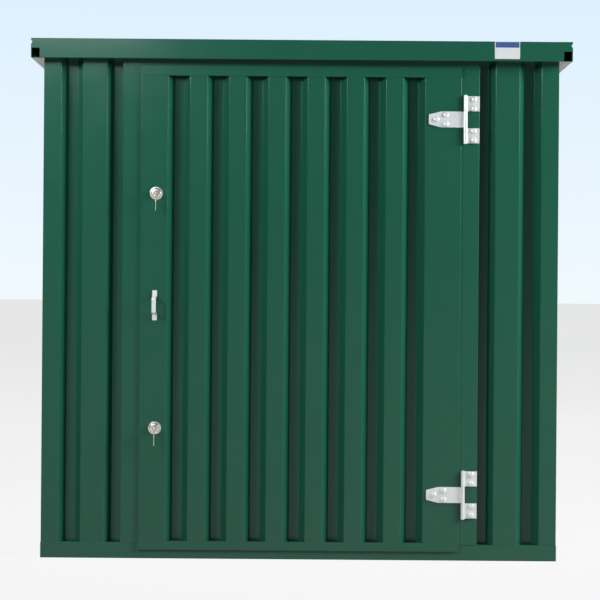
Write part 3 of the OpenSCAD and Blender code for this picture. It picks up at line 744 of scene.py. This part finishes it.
bolt = {"radius": 12.0 * mm, "height": 7 * mm, "rim": 1.0 * mm, "soft": 0.3 * mm, "domeInset": 0.4 * mm}


def addBolt(shape, x, face, z):
    radius, rim, soft = bolt["radius"], bolt["rim"], bolt["soft"]
    profile = [(0.0, 0.0), (radius - soft, 0.0), (radius, soft), (radius, rim)]
    profile += [(r, rim + h) for r, h in arcPoints(radius - bolt["domeInset"], bolt["height"] - rim, 7)]
    addTurned(shape, profile, (x, face, z), (0, -1, 0), 32)


# Rolled eye about the pin: a tube with small rounded ends
def addEye(shape, axis, low, high):
    r, hole, soft = hinge["eye"], hinge["pin"] + hinge["play"], hinge["eyeSoft"]
    profile = [(hole, low), (r - soft, low), (r, low + soft), (r, high - soft), (r - soft, high),
               (hole, high), (hole, low)]
    addTurned(shape, profile, axis, (0, 0, 1), 40)


# Tapered strap on the door, with the middle eye
def makeStrap(prefix, node, x, y):
    low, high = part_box(node)
    z = (low.z + high.z) / 2
    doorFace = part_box("door_sheet")[0].y
    half, tip, reach = hinge["strap"] / 2, hinge["tip"] / 2, hinge["strapReach"]
    plateMiddle = y - doorFace + hinge["plate"] / 2
    eyeJoin = -math.sqrt(hinge["eye"] ** 2 - plateMiddle ** 2) + hinge["eyeBite"]
    outline = [(eyeJoin, -half), (eyeJoin, half), (-hinge["taper"], half),
               (-reach + hinge["cut"], tip + hinge["cutOut"]), (-reach, tip - hinge["cutIn"]),
               (-reach, -tip + hinge["cutIn"]), (-reach + hinge["cut"], -tip - hinge["cutOut"]),
               (-hinge["taper"], -half)]
    shape = bmesh.new()
    addPlate(shape, outline, 0.0, hinge["plate"], hinge["bevel"],
             lambda u, v, w: (x + u, doorFace - w, z + v), 3)
    addEye(shape, (x, y, z), -half, half)
    for boltX, boltZ in hinge["strapBolts"]:
        addBolt(shape, x + boltX, doorFace - hinge["plate"], z + boltZ)
    name = prefix + "HingeStrap"
    weigh(newObject(name, closeMesh(name, shape), "zinc", "door", [node]))
    return z


# Two leaves on the frame, with their eyes and the headed pin
def makeLeaf(prefix, node, x, y, z):
    low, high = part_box(node)
    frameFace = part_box("door_header")[0].y
    root, reach = -hinge["leafRoot"], hinge["leafReach"]
    shape = bmesh.new()
    for side in (-1, 1):
        near, far = sorted((z + side * hinge["leafStart"], z + side * hinge["leafEnd"]))
        addPlate(shape, [(root, near), (reach, near), (reach, far), (root, far)],
                 0.0, hinge["plate"], hinge["bevel"], lambda u, v, w: (x + u, frameFace - w, v), 3)
        near, far = sorted((side * hinge["eyeStart"], side * hinge["eyeEnd"]))
        addEye(shape, (x, y, z), near, far)
    end, cap = (high.z - low.z) / 2, hinge["eyeEnd"]
    headLow, headHigh, top = cap + hinge["play"], end - hinge["pinSoft"], hinge["pinTop"]
    profile = [(0.0, -end), (top, -end), (hinge["pinHead"], -headHigh), (hinge["pinHead"], -headLow),
               (hinge["pin"], -cap), (hinge["pin"], cap), (hinge["pinHead"], headLow),
               (hinge["pinHead"], headHigh), (top, end), (0.0, end)]
    addTurned(shape, profile, (x, y, z), (0, 0, 1), 32)
    for boltX, boltZ in hinge["leafBolts"]:
        addBolt(shape, x + boltX, frameFace - hinge["plate"], z + boltZ)
    name = prefix + "HingeLeaf"
    weigh(newObject(name, closeMesh(name, shape), "zinc", "container", [node]))


def makeHinge(prefix, strapNode, leafNode):
    x, y = joints["door_hinge"]["pos_m"][:2]
    z = makeStrap(prefix, strapNode, x, y)
    makeLeaf(prefix, leafNode, x, y, z)


makeHinge("upper", "upper_hinge_strap", "upper_hinge_leaf")
makeHinge("lower", "lower_hinge_strap", "lower_hinge_leaf")
print("hinges made")


# Pull handle

handle = {
    "thickness": 4 * mm, "foot": 26 * mm, "bend": 7 * mm, "lean": 80.0, "waist": 0.88, "edge": 0.8 * mm,
    "bowStart": 4 * mm, "screwRadius": 4.6 * mm, "screwInset": 12 * mm, "screwRim": 0.4 * mm,
    "screwDome": 1.4 * mm, "screwSoft": 0.2 * mm,
}


def makeHandle():
    low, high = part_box("pull_handle")
    t, out = handle["thickness"], high.y - low.y
    middle = (low.z + high.z) / 2
    centreX, halfWidth = (low.x + high.x) / 2, (high.x - low.x) / 2
    doorFace = high.y
    halfHeight = (high.z - low.z) / 2
    footEnd = halfHeight - handle["foot"]
    topEnd = footEnd - (out - t) / math.tan(math.radians(handle["lean"]))
    # The back line lies against the door, and the strip to its left, away from the door
    back = [(-halfHeight, 0.0), (-footEnd, 0.0), (-topEnd, out - t), (topEnd, out - t), (footEnd, 0.0),
            (halfHeight, 0.0)]
    face, rear = foldStrip(back, t, handle["bend"], 7)
    shape = bmesh.new()
    count = len(face)
    soft = handle["edge"]
    rows = []
    for i in range(count):
        outwards = (rear[i] - face[i]).normalized()
        bow = min(1.0, max(0.0, (face[i].y - handle["bowStart"]) / (out / 2)))
        width = halfWidth * (1 - (1 - handle["waist"]) * bow)
        section = [(-width, soft), (-width + soft, 0.0), (width - soft, 0.0), (width, soft),
                   (width, t - soft), (width - soft, t), (-width + soft, t), (-width, t - soft)]
        rows.append([shape.verts.new((centreX + a, doorFace - (face[i] + outwards * b).y,
                                      middle + (face[i] + outwards * b).x)) for a, b in section])
    for first, second in zip(rows, rows[1:]):
        for k in range(8):
            n = (k + 1) % 8
            shape.faces.new((first[k], first[n], second[n], second[k]))
    shape.faces.new(rows[0])
    shape.faces.new(rows[-1])
    radius, rim = handle["screwRadius"], handle["screwRim"]
    profile = [(0.0, 0.0), (radius, 0.0), (radius, rim)]
    profile += [(r, rim + h) for r, h in arcPoints(radius - handle["screwSoft"], handle["screwDome"], 4)]
    for side in (-1, 1):
        screwZ = middle + side * (halfHeight - handle["screwInset"])
        addTurned(shape, profile, (centreX, doorFace - t, screwZ), (0, -1, 0), 24)
    weigh(newObject("pullHandle", closeMesh("pullHandle", shape, 50), "zinc", "door", ["pull_handle"]))


makeHandle()
print("pull handle made")


# Locks: rosette, cylinder, key with its ring and spare key

lock = {
    "plug": 6.5 * mm, "barrel": 8.5 * mm, "barrelSoft": 0.5 * mm, "play": 0.05 * mm, "tail": 10 * mm,
    "tailDrop": 19.5 * mm, "tailSoft": 0.3 * mm, "tailJoin": 0.87,
}
# Points of the rosette's profile as (radius, height): the rim's from the outer radius, the groove's from
# the shoulder, and the mouth's from the hole's radius and the top
rosette = {
    "gap": 0.3 * mm, "shoulder": 0.80,
    "rim": [(-0.5 * mm, 0.0), (0.0, 0.6 * mm), (0.0, 1.9 * mm), (-0.6 * mm, 2.4 * mm)],
    "groove": [(1.2 * mm, 3.2 * mm), (0.4 * mm, 2.5 * mm), (-0.4 * mm, 2.7 * mm)],
    "domeInset": 1.0 * mm, "domeStart": 3.4 * mm, "crown": 3.2 * mm, "crownDrop": 0.2 * mm,
    "mouth": [(2.2 * mm, 0.0), (0.5 * mm, -0.2 * mm), (0.0, -0.8 * mm)],
}


def makeRosette(name, node):
    low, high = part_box(node)
    centre = ((low.x + high.x) / 2, high.y, (low.z + high.z) / 2)
    radius, height = (high.x - low.x) / 2, high.y - low.y
    inner = lock["barrel"] + rosette["gap"]
    shoulder = radius * rosette["shoulder"]
    crown, start = inner + rosette["crown"], rosette["domeStart"]
    dome = arcPoints(shoulder - rosette["domeInset"] - crown, height - start - rosette["crownDrop"], 8)
    profile = [(inner, 0.0)]
    profile += [(radius + r, h) for r, h in rosette["rim"]]
    profile += [(shoulder + r, h) for r, h in rosette["groove"]]
    profile += [(crown + r, start + h) for r, h in dome]
    profile += [(inner + r, height + h) for r, h in rosette["mouth"]]
    profile += [(inner, 0.0)]
    shape = bmesh.new()
    addTurned(shape, profile, centre, (0, -1, 0), 64)
    weigh(newObject(name, closeMesh(name, shape, 55), "nickel", "door", [node]))


# Profile cylinder: round barrel with the plug's hole, and the tail below it
def makeCylinder(name, node, keyJoint):
    low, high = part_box(node)
    x, z = joints[keyJoint]["pos_m"][0], joints[keyJoint]["pos_m"][2]
    length = high.y - low.y
    hole, barrel, soft = lock["plug"] + lock["play"], lock["barrel"], lock["barrelSoft"]
    shape = bmesh.new()
    profile = [(hole, length / 2), (hole, 0.0), (barrel - soft, 0.0), (barrel, soft), (barrel, length),
               (0.0, length), (0.0, length / 2), (hole, length / 2)]
    addTurned(shape, profile, (x, low.y, z), (0, 1, 0), 48)
    half, drop = lock["tail"] / 2, lock["tailDrop"] - lock["tail"] / 2
    tail = [(half * math.cos(math.pi + math.pi * k / 12), -drop + half * math.sin(math.pi + math.pi * k / 12))
            for k in range(13)]
    tail += [(half, -barrel * lock["tailJoin"]), (-half, -barrel * lock["tailJoin"])]
    addPlate(shape, tail, 0.0, length, lock["tailSoft"], lambda u, v, w: (x + u, low.y + w, z + v))
    weigh(newObject(name, closeMesh(name, shape), "brass", "door", [node]))


for level in ("upper", "lower"):
    makeRosette(level + "Rosette", level + "_lock_rosette")
    makeCylinder(level + "Cylinder", level + "_lock_cylinder", level + "_key_turn")
print("locks made")


# Keys: one in each lock, and a spare one that hangs from its ring

key = {
    "thickness": 2.5 * mm, "bow": 12 * mm, "bowHole": 5 * mm, "holeShift": -2 * mm, "shank": 8 * mm,
    "bevel": 0.5 * mm, "plugSoft": 0.4 * mm, "shankIn": 1.0 * mm, "spareBow": 11 * mm, "spareHole": 4 * mm,
    "spareShank": 28 * mm, "plain": (0.0,),
    "spareCuts": (1.2 * mm, 2.6 * mm, 1.8 * mm, 3.2 * mm, 2.0 * mm),
}
shank = {
    "bite": 1.5 * mm, "collar": 3 * mm, "thin": 0.92, "soft": 0.2 * mm, "tip": 0.6, "tipHalf": 0.35,
    "cuts": 7, "cutRun": 0.8, "firstCut": 0.3, "cutFlat": 0.45,
}
ring = {
    "radius": 10 * mm, "wire": 0.8 * mm, "thick": 0.52, "turn": 30.0, "start": 108.0, "turns": 2,
    "around": 48, "sides": 10,
}


# A key on edge: bow with its hole, and a shank with cuts. The bow's middle is at y, z.
def addKeyPlate(shape, x, y, z, radius, holeLift, shankDirection, shankLength, cuts):
    half, soft, count = key["thickness"] / 2, key["bevel"], 40
    rings = []
    for r, lift, offset in ((radius, 0.0, -half + soft), (radius - soft, 0.0, -half),
                            (key["bowHole"], holeLift, -half), (key["bowHole"], holeLift, half),
                            (radius - soft, 0.0, half), (radius, 0.0, half - soft)):
        rings.append([shape.verts.new((x + offset, y + r * math.cos(2 * math.pi * k / count),
                                       z + lift + r * math.sin(2 * math.pi * k / count)))
                      for k in range(count)])
    for a, b in zip(rings, rings[1:] + rings[:1]):
        for k in range(count):
            n = (k + 1) % count
            shape.faces.new((a[k], a[n], b[n], b[k]))
    addShank(shape, Vector((x, y, z)), radius, Vector(shankDirection), shankLength, cuts)


def addShank(shape, base, radius, along, length, cuts):
    half, side = key["shank"] / 2, Vector((0, -along.z, along.y))
    start, end = radius - shank["bite"], radius + length
    step = length * shank["cutRun"] / shank["cuts"]
    outline = [(start, -half), (end - half * shank["tip"], -half), (end, -half * shank["tipHalf"])]
    for k in range(shank["cuts"]):  # along the bitted edge, from the tip back to the bow
        u = end - (k + shank["firstCut"]) * step
        depth = half - cuts[k % len(cuts)]
        outline += [(u, depth), (u - step * shank["cutFlat"], depth)]
    outline += [(start + shank["collar"], half), (start, half)]
    thick = key["thickness"] / 2 * shank["thin"]
    addPlate(shape, outline, -thick, thick, shank["soft"],
             lambda u, v, w: base + along * u + side * v + Vector((w, 0, 0)), 1)


# The turning plug and the key in it
def makeKey(name, body, keyJoint, cylinder):
    low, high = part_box(body)
    x, z = joints[keyJoint]["pos_m"][0], joints[keyJoint]["pos_m"][2]
    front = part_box(cylinder)[0].y
    plug, soft = lock["plug"], key["plugSoft"]
    shape = bmesh.new()
    addTurned(shape, [(0.0, 0.0), (plug - soft, 0.0), (plug, soft), (plug, high.y - front),
                      (0.0, high.y - front)], (x, front, z), (0, 1, 0), 40)
    addKeyPlate(shape, x, low.y + key["bow"], z, key["bow"], key["holeShift"], (0, 1, 0),
                front - low.y - 2 * key["bow"] + key["shankIn"], key["plain"])
    weigh(newObject(name, closeMesh(name, shape), "key", body, [body]))


# A split ring, two turns side by side, and the spare key that hangs from it
def makeRing(name, node, body):
    low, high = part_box(node)
    x, y = (low.x + high.x) / 2, (low.y + high.y) / 2
    turn, wire = math.radians(ring["turn"]), ring["wire"] * ring["thick"]
    along, up = Vector((math.sin(turn), math.cos(turn), 0)), Vector((0, 0, 1))
    across = along.cross(up)
    middle = Vector((x, y, high.z - ring["radius"] - ring["wire"]))
    shape = bmesh.new()
    total, sides = ring["turns"] * ring["around"], ring["sides"]
    loops = []
    for i in range(total + 1):
        angle = 2 * math.pi * i / ring["around"] + math.radians(ring["start"])
        outwards = along * math.cos(angle) + up * math.sin(angle)
        centre = middle + outwards * ring["radius"] + across * wire * (2 * i / total - 1)
        loops.append([shape.verts.new(centre + (outwards * math.cos(2 * math.pi * k / sides)
                                                + across * math.sin(2 * math.pi * k / sides)) * wire)
                      for k in range(sides)])
    for a, b in zip(loops, loops[1:]):
        for k in range(sides):
            n = (k + 1) % sides
            shape.faces.new((a[k], a[n], b[n], b[k]))
    shape.faces.new(loops[0])
    shape.faces.new(loops[-1])
    spareZ = low.z + key["spareShank"] + key["spareBow"]
    addKeyPlate(shape, x, y, spareZ, key["spareBow"], key["spareHole"], (0, 0, -1), key["spareShank"],
                key["spareCuts"])
    weigh(newObject(name, closeMesh(name, shape), "key", body, [node]))


for level in ("upper", "lower"):
    makeKey(level + "Key", level + "_key", level + "_key_turn", level + "_lock_cylinder")
    makeRing(level + "KeyRing", level + "_key_ring", level + "_key")
print("keys made")


# Blank plate on the roof edge

plate = {
    "left": 780 * mm, "right": 882 * mm, "bottom": 9 * mm, "top": 79 * mm, "soft": 0.15 * mm,
    "behind": 0.1 * mm, "band": 24 * mm, "bandDepth": 0.2 * mm, "rim": 1.5 * mm, "bandSoft": 0.04 * mm,
}


def makePlate():
    low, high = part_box("roof_fascia_front")
    left, right, rim = plate["left"], plate["right"], plate["rim"]
    top = low.z + plate["top"]
    shape = bmesh.new()
    addBox(shape, (left, low.y + plate["behind"], low.z + plate["bottom"]),
           (right, low.y + edge["plateRoom"], top), plate["soft"], 1)
    weigh(newObject("blankPlate", closeMesh("blankPlate", shape), "plate", "container"))
    shape = bmesh.new()
    addBox(shape, (left + rim * 2, low.y, top - plate["band"]),
           (right - rim * 2, low.y + plate["bandDepth"], top - rim), plate["bandSoft"], 1)
    weigh(newObject("blankPlateBand", closeMesh("blankPlateBand", shape), "band", "container"))


makePlate()
print("plate made")


# CAD pieces that keep their own shape

kept = {
    "floor_joists": "tube", "roof_purlins": "tube", "upper_lock_case": "tube", "lower_lock_case": "tube",
    "floor_board_front": "board", "floor_board_rear": "board",
}


def finishNodes():
    for node, material in kept.items():
        mesh = nodes[node].data
        mesh.materials.clear()
        mesh.materials.append(materials[material])


finishNodes()
print("kept pieces finished")


# Floor, backdrop, light and camera

studio = {
    "floorSize": 4000.0, "floorNear": (0.925, 0.925, 0.925, 1), "floorFar": (0.815, 0.820, 0.820, 1),
    "skyLow": (0.871, 0.947, 0.991, 1), "skyHigh": (0.730, 0.871, 1.0, 1), "ambient": 0.075, "mirrored": 0.28,
    "skyRise": 0.2,  # how high up the paler sky reaches
    "floorAlbedo": 0.28,  # what the floor throws back at the store
    "floorGlow": 1.1, "floorShare": 0.88,  # how pale the floor is seen, and how little of its shade shows
    "nearReach": 1.5, "farReach": 26.0,
}


def makeWorld():
    world = bpy.data.worlds.new("studioSky")
    bpy.context.scene.world = world
    world.use_nodes = True
    tree = world.node_tree
    tree.nodes.clear()
    output = addNode(tree, "ShaderNodeOutputWorld")
    background = addNode(tree, "ShaderNodeBackground")
    join(tree, background.outputs[0], output.inputs[0])
    direction = addNode(tree, "ShaderNodeTexCoord").outputs["Generated"]
    split = addNode(tree, "ShaderNodeSeparateXYZ")
    join(tree, direction, split.inputs[0])
    height = remap(tree, split.outputs["Z"], 0.0, studio["skyRise"], 0.0, 1.0)
    join(tree, mixColour(tree, height, studio["skyLow"], studio["skyHigh"]), background.inputs[0])
    rays = addNode(tree, "ShaderNodeLightPath").outputs
    seen = mathNode(tree, "MULTIPLY", rays["Is Camera Ray"], 1.0 - studio["ambient"])
    bounced = mathNode(tree, "MAXIMUM", rays["Is Glossy Ray"], rays["Is Transmission Ray"])
    mirrored = mathNode(tree, "MULTIPLY", bounced, studio["mirrored"] - studio["ambient"])
    strength = mathNode(tree, "ADD", seen, mirrored)
    join(tree, mathNode(tree, "ADD", strength, studio["ambient"]), background.inputs[1])


def makeFloor():
    size = studio["floorSize"]
    shape = bmesh.new()
    bmesh.ops.create_grid(shape, x_segments=4, y_segments=4, size=size / 2)
    mesh = closeMesh("floor", shape)
    floor = bpy.data.objects.new("floor", mesh)
    bpy.context.scene.collection.objects.link(floor)
    material = bpy.data.materials.new("studioFloor")
    material.use_nodes = True
    tree = material.node_tree
    tree.nodes.clear()
    output = addNode(tree, "ShaderNodeOutputMaterial")
    matt = addNode(tree, "ShaderNodeBsdfDiffuse", {"Color": (studio["floorAlbedo"],) * 3 + (1,)})
    glow = addNode(tree, "ShaderNodeEmission", {"Strength": studio["floorGlow"]})
    place = addNode(tree, "ShaderNodeNewGeometry").outputs["Position"]
    reach = addNode(tree, "ShaderNodeVectorMath", operation="LENGTH")
    join(tree, place, reach.inputs[0])
    far = mathNode(tree, "SQRT", remap(tree, reach.outputs["Value"], studio["nearReach"],
                                       studio["farReach"], 0.0, 1.0))
    join(tree, mixColour(tree, far, studio["floorNear"], studio["floorFar"]), glow.inputs[0])
    rays = addNode(tree, "ShaderNodeLightPath").outputs
    bounced = mathNode(tree, "MAXIMUM", rays["Is Glossy Ray"], rays["Is Transmission Ray"])
    seen = mathNode(tree, "MAXIMUM", rays["Is Camera Ray"], bounced)
    mix = addNode(tree, "ShaderNodeMixShader")
    join(tree, mathNode(tree, "MULTIPLY", seen, studio["floorShare"]), mix.inputs[0])
    join(tree, matt.outputs[0], mix.inputs[1])
    join(tree, glow.outputs[0], mix.inputs[2])
    join(tree, mix.outputs[0], output.inputs[0])
    mesh.materials.append(material)


# The bank on the right grazes the front and isn't mirrored; the strip beside it draws the lines on the folds
lamps = {
    "rightBank": {"at": (5.1, -2.6, 3.1), "to": (0.2, -1.0, 1.4), "width": 1.9, "height": 2.0, "power": 368.0,
                  "colour": (1.0, 0.99, 0.97), "mirrored": False},
    "rightStrip": {"at": (5.0, -2.7, 3.0), "to": (0.2, -1.0, 1.4),
                   "width": 0.7, "height": 1.6, "power": 110.0,
                   "colour": (1.0, 0.99, 0.97), "mirrored": True},
    "leftBox": {"at": (-3.1, -3.2, 2.95), "to": (0.0, -1.0, 1.5), "width": 0.7, "height": 0.9, "power": 92.0,
                "colour": (0.97, 0.99, 1.0), "mirrored": True},
    "highBox": {"at": (-1.85, -4.3, 3.08), "to": (-0.9, -1.1, 2.0),
                "width": 1.9, "height": 0.8, "power": 35.0,
                "colour": (0.86, 0.96, 1.0), "mirrored": True},
    "backBox": {"at": (2.5, 6.5, 4.5), "to": (0.0, 0.5, 1.0), "width": 5.0, "height": 3.5, "power": 260.0,
                "colour": (1.0, 1.0, 1.0), "mirrored": True},
}


def makeLamps():
    for name, lamp in lamps.items():
        data = bpy.data.lights.new(name, "AREA")
        data.shape = "RECTANGLE"
        data.size, data.size_y = lamp["width"], lamp["height"]
        data.energy, data.color = lamp["power"], lamp["colour"]
        holder = bpy.data.objects.new(name, data)
        holder.location = lamp["at"]
        aim = Vector(lamp["to"]) - Vector(lamp["at"])
        holder.rotation_euler = aim.to_track_quat("-Z", "Y").to_euler()
        holder.visible_glossy = lamp["mirrored"]
        bpy.context.scene.collection.objects.link(holder)


view = {"away": 6.0, "height": 1.058, "side": 0.0, "lens": 88.3, "sensor": 36.0, "roll": -0.45}


def makeCamera():
    data = bpy.data.cameras.new("camera")
    data.lens = view["lens"]
    data.sensor_width = view["sensor"]
    holder = bpy.data.objects.new("camera", data)
    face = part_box("front_wall_left")[0].y
    holder.matrix_world = (Matrix.Translation((view["side"], face - view["away"], view["height"]))
                           @ Matrix.Rotation(math.radians(view["roll"]), 4, "Y")
                           @ Matrix.Rotation(math.pi / 2, 4, "X"))
    bpy.context.scene.collection.objects.link(holder)
    bpy.context.scene.camera = holder


makeWorld()
makeFloor()
makeLamps()
makeCamera()
bpy.context.scene.view_settings.view_transform = "Standard"
print("studio made")
